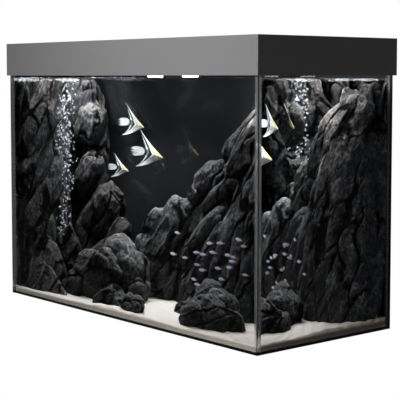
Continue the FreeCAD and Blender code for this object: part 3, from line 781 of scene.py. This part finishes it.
stack_lobes = [
    ((-470, 140, 590), (-435, 140, 690), 70, 60, -85, 41, 0.7),
    ((-405, 125, 535), (-370, 125, 600), 64, 60, -85, 42, 0.7),
    ((-435, 125, 365), (-375, 125, 445), 52, 58, -85, 43, 0.7),
    ((-375, 125, 220), (-288, 125, 320), 78, 62, -85, 44, 0.7),
    ((-255, 100, 185), (-200, 100, 245), 42, 48, -85, 45),
    ((-350, 80, 80), (-250, 80, 170), 56, 50, -85, 46),
    ((-215, 110, 0), (-190, 110, 150), 66, 50, -85, 47),
    ((-505, -15, 20), (-482, -2, 175), 52, 32, -70, 48, 0.8, 0.6, 0.45),
    ((-385, 0, 0), (-428, 5, 190), 68, 45, -85, 49, 0.8, 0.6, 0.55),
    ((-400, 190, 50), (-400, 190, 640), 60, 48, -90, 50),
    ((-330, 190, 50), (-325, 190, 280), 70, 45, -90, 40),
    ((-420, 100, 0), (-400, 110, 240), 60, 50, -85, 39),
]
left_group.objects.link(rock_piece(
    "rock_stack_left", "rock_stack", stack_lobes, (0.5, 0, 0.8), 7, stack_rock))
left_group.objects.link(rock_piece(
    "rock_chimney_left", "rock_chimney", [], (0, 0, 1), 8, left_rock, voxel=0.005,
    core=True, core_scale=(1, 1, 1)))

# %% [markdown]
# Boulders lie loose on the sand: a large one on the left with a low stone and a pebble before
# it, and a pair on the right. They are a few lobes each. The large one is carved with big
# even blocks, the small ones with finer relief, because cracks don't shrink with the stone.

# %% Loose boulders
large_lobes = [
    ((-225, 0, 80), (-152, 5, 182), 74, 68, -85, 51, 0.7),
    ((-125, 0, 50), (-100, 0, 146), 74, 66, -80, 52, 0.68),
    ((-255, -70, 60), (-165, -65, 140), 68, 50, -85, 53, 0.65),
    ((-360, -55, 10), (-325, -45, 60), 60, 60, -95, 54),
    ((-290, 0, 40), (-260, 0, 110), 70, 60, -95, 55),
    ((-75, -20, 10), (-60, -20, 85), 52, 50, -75, 56),
    ((-150, -95, 0), (-110, -90, 40), 55, 35, -85, 57),
]
rock_piece("boulder_left_large", "boulder_left", large_lobes, (0.7, 0, 0.6), 9, loose_rock,
           core=True, core_scale=(0.85, 0.85, 0.85), swell=0.0035, crack=0.007, size=1.5, draw=1.6)
low_lobes = [
    ((-165, -165, 15), (-85, -162, 55), 34, 36, -88, 58),
    ((-120, -160, 10), (-70, -158, 30), 36, 38, -88, 59),
]
pebble_lobes = [
    ((-15, -190, 20), (10, -190, 55), 26, 30, -90, 61),
    ((35, -188, 25), (50, -188, 55), 26, 30, -90, 62),
    ((10, -195, 15), (45, -195, 30), 30, 30, -90, 63),
]
rear_lobes = [
    ((240, 15, 30), (252, 20, 100), 60, 55, -80, 71),
    ((315, -20, 30), (325, -15, 85), 62, 55, -70, 72),
    ((190, -20, 15), (205, -15, 60), 40, 45, -85, 73),
    ((142, -15, 10), (152, -12, 45), 32, 36, -90, 74),
    ((250, -50, 10), (270, -45, 70), 50, 40, -80, 75),
]
front_lobes = [
    ((280, -165, 20), (305, -160, 55), 56, 46, -70, 76),
    ((345, -125, 20), (360, -120, 70), 62, 56, -60, 77),
    ((395, -85, 15), (400, -80, 60), 46, 46, -45, 78),
    ((300, -110, 10), (330, -100, 60), 50, 50, -80, 79),
]
for small_piece in (
    ("boulder_left_low", "boulder_low", low_lobes, (1, 0, 0.4), 10, 0.7),
    ("pebble_left", "rock_pebble", pebble_lobes, (1, 0, 0.3), 11, 0.6),
    ("boulder_right_rear", "boulder_rear", rear_lobes, (0.7, 0, 0.6), 12, 0.8),
    ("boulder_right_front", "boulder_front", front_lobes, (0.8, 0, 0.4), 13, 0.8),
):
    rock_piece(*small_piece[:5], loose_rock, voxel=0.003, size=small_piece[5])


# %% [markdown]
# Sand settles in low ripples that run across the current, and banks up a little against the
# back. A grid lifted by a height rule gives that, with skirts down to the bottom pane so
# that its cut edge shows behind the glass.

# %% Sand
def sand_height(x, y):
    """Bed that rises to the back, with banks, drifts and fine ripples."""
    front_height, rise_to_back, ripple_length = 0.021, 0.017, 0.045
    rise = front_height + rise_to_back * (y + inner_y) / (2 * inner_y)
    bank = 0.004 * np.sin(5.2 * x + 0.8) + 0.003 * np.sin(9.1 * x - 4.0 * y + 2.0)
    points = np.stack([x * 9, y * 9, np.zeros_like(x)], axis=1)
    drift = 0.003 * layered_noise(points, 77, 3)
    warp = 0.02 * layered_noise(points * 0.7, 78, 2)
    ripple = 0.0012 * np.sin(2 * np.pi * (0.5 * x + y + warp) / ripple_length)
    return rise + bank + drift + ripple


def make_sand():
    x, y, index, _, _ = grid_inside(gap=0.0012, step=0.004)
    top = np.stack([x, y, np.maximum(sand_height(x, y), floor_top + 0.002)], axis=1)
    bottom = np.stack([x, y, np.full_like(x, floor_top + 0.0008)], axis=1)
    under = len(top)
    faces = quads(index).tolist() + (quads(index)[:, ::-1] + under).tolist()
    rim = [*index[0, :], *index[1:, -1], *index[-1, -2::-1], *index[-2:0:-1, 0]]
    for p, q in zip(rim, rim[1:] + rim[:1]):
        faces.append([int(p), int(p) + under, int(q) + under, int(q)])
    material = finish("sand", (0.74, 0.67, 0.61), 0.9, second=(0.60, 0.54, 0.49), patch=22, relief=0.8,
                      grain=1100, depth=0.0015)
    obj = new_object("sand_bed_rippled", new_mesh("sand", [top, bottom], faces), material, "tank")
    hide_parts("sand_bed")
    low_band.objects.link(obj)
    print("sand", len(faces), "faces")


make_sand()


# %% [markdown]
# The water is one closed body just inside the glass. Its top is a grid with small waves,
# livelier where the air rises. Light bends at every face, so the same fish is seen twice at
# the corner and the far rocks are mirrored in the back, as in a real tank.

# %% Water
def make_water():
    x, y, index, half_x, half_y = grid_inside(gap=0.0005, step=0.006)
    lively = np.exp(-((x + 0.49) ** 2 + (y - 0.03) ** 2) / 0.02)
    swell = layered_noise(np.stack([x, y, np.zeros_like(x)], axis=1) * 28, 91, 3) - 0.6
    to_glass = np.minimum(half_x - np.abs(x), half_y - np.abs(y))
    wave = (0.0010 + 0.0022 * lively) * swell + 0.0012 * np.exp(-to_glass / 0.004)
    top = np.stack([x, y, water_level + wave], axis=1)
    low = floor_top + 0.0004
    corners = [(-half_x, -half_y, low), (half_x, -half_y, low), (half_x, half_y, low), (-half_x, half_y, low)]
    faces, base = quads(index).tolist(), len(top)
    for k, edge in enumerate((index[0, :], index[:, -1], index[-1, ::-1], index[::-1, 0])):
        faces.append([base + k, base + (k + 1) % 4] + edge[::-1].tolist())
    faces.append([base + 3, base + 2, base + 1, base])
    obj = new_object("water_body", new_mesh("water", [top, np.array(corners)], faces),
                     clear_body("water", (0.985, 0.995, 1.0), 1.5), "tank", smooth=False)
    obj.visible_shadow = False
    print("water", len(faces), "faces")


make_water()

# %% [markdown]
# Air leaves the stone as a loose column of flattened bubbles that grow and spread on their
# way up, and it bursts into froth at the surface. Each bubble is a small closed ball with
# its own size and squash. They are joined into one object, because hundreds of separate
# objects would be slow to handle and never need to move apart. Four dim panels round the
# stream light only the bubbles, for the glints that set them off against dark rock.


# %% Bubbles
def ball_cluster(name, balls, subdivisions=2):
    """One mesh of many balls given as (centre, radius, squash)."""
    ball, faces = unit_ball(subdivisions)
    blocks = [ball * np.array([r, r, r * squash]) + np.array(centre) for centre, r, squash in balls]
    all_faces = np.concatenate([faces + k * len(ball) for k in range(len(balls))])
    return new_mesh(name, blocks, all_faces.tolist())


def rising_air(source, count, rng):
    """Bubbles that spread, sway and grow a little on their way up."""
    balls = []
    above_stone, below_surface = 0.004, 0.006
    bottom, top = source.z + above_stone, water_level - below_surface
    for _ in range(count):
        share = rng.random() ** 0.8
        z = bottom + share * (top - bottom)
        spread = 0.010 + 0.030 * min(1.0, 2 * share) - 0.012 * max(0.0, 2 * share - 1)
        sway = 0.026 * share + 0.006 * math.sin(14 * share)
        angle = rng.uniform(0, 2 * math.pi)
        reach = spread * math.sqrt(rng.random()) * rng.uniform(0.7, 1.3)
        radius = rng.uniform(0.0020, 0.0032) + 0.0012 * share * rng.random()
        centre = (source.x + sway + 1.5 * reach * math.cos(angle), source.y + reach * math.sin(angle), z)
        balls.append((centre, radius, rng.uniform(0.7, 1.0)))
    return balls


def froth(centre, spread, count, rng):
    """Burst bubbles afloat round a place, kept off the glass."""
    balls = []
    far_x, far_y = inner_x - 0.006, inner_y - 0.006
    for _ in range(count):
        x = min(max(rng.gauss(centre[0], spread[0]), -far_x), far_x)
        y = min(max(rng.gauss(centre[1], spread[1]), -far_y), far_y)
        radius = rng.uniform(0.0018, 0.0048)
        balls.append(((x, y, water_level - 0.25 * radius + rng.uniform(-0.009, 0.001)), radius, 0.8))
    return balls


def make_rim_glow_bubble_finish():
    """Clear middle and bright rim. The rim carries a faint painted glow, a painted reflection of the lamps
    all round its edge.
    """
    material, tree, make, surface = new_finish("air_bubble")
    facing = make("LayerWeight", {"Blend": 0.5}, pick="Facing")
    wire(tree, surface, {
        "Base Color": (0.90, 0.94, 1.0, 1), "Roughness": 0.08, "IOR": 1.33,
        # Painted reflection: a faint glow over each bubble, seen mostly at its rim, stands in for the lamps
        # it mirrors.
        "Emission Color": (0.93, 0.96, 1.0, 1), "Emission Strength": 0.30,
        "Alpha": remap(make, facing, 0.38, 0.72, 0.03, 0.9),
    })
    return material


rim_glow_bubble_finish = make_rim_glow_bubble_finish()
air_group = light_group("air_pieces")


def add_air(name, balls):
    obj = new_object(name, ball_cluster(name, balls), rim_glow_bubble_finish, "tank")
    obj.visible_shadow = False
    air_group.objects.link(obj)
    print(name, len(balls), "bubbles")


low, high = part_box("air_stone_nipple")
source = Vector(((low.x + high.x) / 2, (low.y + high.y) / 2, high.z))
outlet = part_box("filter_nozzle")[0]
rng = random.Random(4)
add_air("bubble_stream", rising_air(source, 380, rng))
burst = froth((source.x + 0.026, source.y), (0.030, 0.035), 70, rng)
burst += froth((outlet.x + 0.02, outlet.y - 0.12), (0.035, 0.06), 40, rng)
burst += froth((-0.54, -0.20), (0.040, 0.03), 70, rng)
add_air("surface_froth", burst)
for side, place, wide, tall, power in (
    ("front", (-0.47, -0.26, 0.40), 0.30, 0.62, 1.5),
    ("right", (-0.18, -0.02, 0.42), 0.40, 0.60, 1.5),
    ("back", (-0.49, 0.135, 0.42), 0.12, 0.56, 0.6),
    ("left", (-0.585, 0.02, 0.42), 0.30, 0.60, 1.0),
):
    glint = panel_light(f"rim_light_{side}", place, (-0.48, 0.035, place[2]), (wide, tall), power)
    glint.visible_glossy = True
    glint.light_linking.receiver_collection = air_group


# %% [markdown]
# The large fish have tall flat bodies with swept-back fins, like an arrowhead, and pale
# bands that run down from the back fin. The body and its two long fins are one skin,
# stretched between a front edge and a rear edge and swelling to the thickness of a body in
# the middle. The bands then simply follow lines of equal distance from the front edge.


# %% Large fish
def along(curve, t):
    """Point at share t of a polyline, with equal steps for each run."""
    curve = np.array(curve, float)
    place = unit(t) * (len(curve) - 1)
    k = np.minimum(place.astype(int), len(curve) - 2)
    part = (place - k)[:, None]
    part = part * part * (3 - 2 * part) * 0.5 + part * 0.5
    return curve[k] * (1 - part) + curve[k + 1] * part


def new_fish(name, blocks, faces, pales, golds, skin):
    """Fish mesh with its pale and gold paint stored per point."""
    mesh = new_mesh(name, blocks, faces)
    write_values(mesh, "pale", np.concatenate(pales))
    write_values(mesh, "gold", np.concatenate(golds))
    new_object(name, mesh, skin, "tank")
    print(name, len(faces), "faces")


def tall_fish(name, nose, heading, scale):
    """Fish with its nose at a place. The outlines are in millimetres back and up from the nose."""
    low_tip, high_tip = (-108, -28), (-89, 77)
    front = [low_tip, (-80, -25), (-56, -19), (-28, -9), (0, 0), (-22, 17), (-44, 34), (-64, 52), high_tip]
    rear = [low_tip, (-92, -18), (-80, -6), (-73, 6), (-70, 16), (-73, 28), (-78, 42), (-83, 57), high_tip]
    columns, rows = 28, 56
    p, q = np.meshgrid(np.linspace(0, 1, columns), np.linspace(0, 1, rows))
    p, q = p.ravel(), q.ravel()
    flat = along(front, q) * (1 - p[:, None]) + along(rear, q) * p[:, None]
    bulk = hump(q, 0.50, 0.17)
    thick = 0.7 + 8.0 * bulk * np.sin(np.pi * unit(p)) ** 0.7
    thick = thick * np.where((p == 0) | (p == 1), 0.0, 1.0)
    ray = 0.25 * np.sin(q * 260) * (1 - bulk)
    wobble = 0.02 * np.sin(q * 11)
    white_front = unit((0.60 + wobble - 0.36 * unit((q - 0.52) / 0.48) - p) * 30)
    streaks = 0.66 + 0.34 * np.sin(38 * p + 5 * q + 1.5 * np.sin(9 * q))
    white_front = white_front * np.where(bulk > 0.15, streaks, 1.0)
    hind = unit(1 - np.abs(p - 0.80 + 0.10 * unit((q - 0.5) / 0.5)) / 0.085) ** 0.5
    hind = hind * np.where(np.abs(q - 0.5) < 0.09, 0.25, 1.0) * unit((0.93 - q) * 12)
    seam = 1 - 0.8 * hump(p, 0.36, 0.035) * hump(q, 0.50, 0.14)
    mask = 1 - 0.7 * hump(p, 0.13, 0.035) * hump(q, 0.53, 0.06)
    pale = unit(white_front * seam * mask + 0.85 * hind)
    gold = 0.85 * hump(p, 0, 0.20) * hump(q, 0.62, 0.13)
    blocks, faces, pales, golds = [], [], [], []

    def add(block, new_faces, pale_values, gold_values):
        start = sum(len(earlier) for earlier in blocks)
        faces.extend((new_faces + start).tolist())
        blocks.append(block)
        pales.append(pale_values)
        golds.append(gold_values)

    def add_sheet(across, side, up, size, pale_values, gold_values, flip):
        corners = quads(np.arange(size[0] * size[1]).reshape(size))
        block = np.stack([across, side, up], axis=1)
        add(block, corners[:, ::-1] if flip else corners, pale_values, gold_values)

    add_sheet(flat[:, 0], thick + ray, flat[:, 1], (rows, columns), pale, gold, flip=True)
    add_sheet(flat[:, 0], -thick + ray, flat[:, 1], (rows, columns), pale, gold, flip=False)
    # tail fin: a round root, two long lobes and a ragged notch between them
    rows, columns = 30, 24
    s, t = np.meshgrid(np.linspace(-1, 1, columns), np.linspace(0, 1, rows))
    s, t = s.ravel(), t.ravel()
    reach = 50 + 5 * np.abs(s) ** 3 + 6 * np.sin(11 * s + 1) + 4 * np.sin(23 * s)
    root = 17 * (1 - np.sqrt(unit(1 - s * s)))
    u = -69 - 2 - root - (reach - root) * t
    v = 16 + s * 12.0 * (1 + 0.10 * np.sin(np.pi * unit(t)) - 0.10 * t ** 3)
    ripple = 1.4 * np.sin(5 * t + 2 * s) * t
    fin_pale = unit((1 - t) * 7) * (0.70 + 0.10 * np.sin(s * 40)) * (0.8 + 0.2 * t)
    fin_pale = fin_pale * unit(1.02 - s * s * 0.25)
    add_sheet(u, 0.4 + ripple, v, (rows, columns), fin_pale, 0 * fin_pale, flip=False)
    add_sheet(u, -0.4 + ripple, v, (rows, columns), fin_pale, 0 * fin_pale, flip=True)
    # eyes
    ball, ball_faces = unit_ball(2)
    for side in (-1, 1):
        blank = np.zeros(len(ball))
        add(2.6 * ball + np.array([-17, side * 5.2, 3.5]), ball_faces, blank, blank)

    placed = np.concatenate(blocks) * 0.001 * scale @ turn(heading).T + np.array(nose)
    new_fish(name, [placed], faces, pales, golds, tall_fish_skin)


def make_fish_skin(name, dark, pale, warm):
    """Pale and gold paint over a dark ground, with fine scales."""
    material, tree, make, surface = new_finish(name)
    where = make("TexCoord", pick="Object")
    scales = make("TexVoronoi", {"Vector": where, "Scale": 480.0})
    blotch = make("TexNoise", {"Vector": where, "Scale": 130.0, "Detail": 3.0})
    ground = blend(make, make("Attribute", pick="Fac", attribute_name="pale"), dark, pale)
    tinted = blend(make, make("Attribute", pick="Fac", attribute_name="gold"), ground, warm)
    fade = remap(make, blotch, 0.3, 0.7, 0.75, 1.0)
    shaded = make("VectorMath", {0: tinted, "Scale": fade}, operation="SCALE")
    bump = make("Bump", {"Strength": 0.25, "Distance": 0.0006, "Height": scales})
    wire(tree, surface, {"Base Color": shaded, "Roughness": 0.32, "Normal": bump})
    return material


tall_fish_skin = make_fish_skin(
    "angelfish_skin", (0.006, 0.006, 0.007), (0.66, 0.66, 0.64), (0.66, 0.53, 0.16))
tall_fish("tall_fish_upper", (-0.171, 0.215, 0.560), heading=4, scale=0.98)
tall_fish("tall_fish_middle", (-0.014, 0.110, 0.473), heading=17, scale=1.10)
tall_fish("tall_fish_lower", (-0.175, 0.100, 0.423), heading=24, scale=0.74)


# %% [markdown]
# A school of small silver fish with orange tails swims over the foot of the wall. They all
# keep about the same heading, as a school does, but no two point exactly the same way.

# %% Small fish
def small_fish(place, heading, pitch, length, rng):
    """Points, faces and paint of one small fish with its nose at place."""
    rows, columns = 15, 12
    around = np.linspace(0, 2 * math.pi, columns, endpoint=False)
    t, a = np.meshgrid(np.linspace(0, 1, rows), around, indexing="ij")
    t, a = t.ravel(), a.ravel()
    tall = 0.155 * np.sin(np.pi * unit(t * 0.93 + 0.02)) ** 0.75 * (1 - 0.35 * t)
    wide = 0.42 * tall * (1 - 0.5 * t)
    points = np.stack([-0.76 * t, wide * np.sin(a), tall * np.cos(a) - 0.01 * np.sin(np.pi * t)], axis=1)
    index = np.arange(rows * columns).reshape(rows, columns)
    faces = quads(np.concatenate([index, index[:, :1]], axis=1)).tolist()
    pale = np.where(np.cos(a) > 0.75, 0.55, 1.0) * (0.75 + 0.25 * np.abs(np.sin(a)))
    warm = 0.75 * unit((t - 0.92) * 9)
    fins = [
        ([(-0.70, 0.02), (-0.95, 0.09), (-0.86, 0.01), (-0.95, -0.08), (-0.70, -0.02)], 0.8),
        ([(-0.32, 0.12), (-0.46, 0.19), (-0.52, 0.09)], 0.15),
        ([(-0.36, -0.11), (-0.52, -0.17), (-0.57, -0.06)], 0.2),
    ]
    for outline, orange in fins:
        for side in (-1, 1):
            start = len(points)
            corners = np.array([(u, side * 0.006, v) for u, v in outline])
            points = np.concatenate([points, corners])
            loop = list(range(start, start + len(outline)))
            faces.append(loop if side > 0 else loop[::-1])
            pale = np.concatenate([pale, np.full(len(outline), 0.35)])
            warm = np.concatenate([warm, np.full(len(outline), orange)])
    tip = math.radians(pitch)
    tilt = np.array([[math.cos(tip), 0, -math.sin(tip)], [0, 1, 0], [math.sin(tip), 0, math.cos(tip)]])
    points[:, 1] += 0.05 * rng.uniform(-1, 1) * points[:, 0] ** 2
    return points @ tilt.T @ turn(heading).T * length + np.array(place), faces, pale, warm


def make_school(places_cm):
    rng = random.Random(21)
    blocks, faces, pales, golds, start = [], [], [], [], 0
    for x, y, z in places_cm:
        nose = (x / 100 - 0.016, y / 100, z / 100)
        heading, pitch = 180 + rng.uniform(-14, 14), rng.uniform(-6, 6)
        block, new_faces, pale, warm = small_fish(nose, heading, pitch, rng.uniform(0.031, 0.037), rng)
        faces += [[v + start for v in face] for face in new_faces]
        start += len(block)
        for store, values in ((blocks, block), (pales, pale), (golds, warm)):
            store.append(values)
    skin = make_fish_skin("tetra_skin", (0.06, 0.06, 0.08), (0.78, 0.80, 0.98), (0.60, 0.15, 0.06))
    new_fish("small_fish_school", blocks, faces, pales, golds, skin)


school_places_cm = [
    (11, 2, 26), (6, 7, 19), (15, 1, 19), (20, 1, 21), (24, -1, 21), (22, -2, 18), (26, -5, 17),
    (18, 3, 13), (21, 0, 12), (24, 4, 24), (31, -1, 25), (27, 1, 22), (34, 0, 22), (38, -3, 22),
    (34, 3, 20), (37, -4, 19), (31, -2, 18), (32, -1, 15), (45, -8, 26), (40, 2, 17), (39, -1, 27),
]
make_school(school_places_cm)
